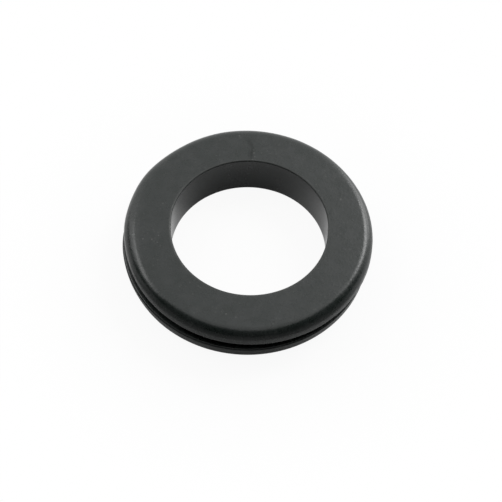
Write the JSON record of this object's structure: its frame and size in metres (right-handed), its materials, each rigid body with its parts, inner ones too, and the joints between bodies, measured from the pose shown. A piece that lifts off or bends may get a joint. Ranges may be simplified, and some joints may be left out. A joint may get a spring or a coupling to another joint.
{
  "type": "rubber grommet",
  "caption": "Round black rubber grommet that lines a hole in a sheet metal panel, with a wide bore, two flanges and a narrow groove that grips the panel's edge.",
  "frame": {"origin": "centre of the bore at the back flange's flat face, which is the face it lies on", "axes": "+Z along the bore axis, from the back flange to the front flange; the ring is the same all round, so X and Y are free"},
  "size_m": [0.04, 0.04, 0.0074],
  "materials": {
    "rubber": "matt moulded black rubber"
  },
  "bodies": {
    "root": {"grommet": "rubber"}
  },
  "joints": []
}
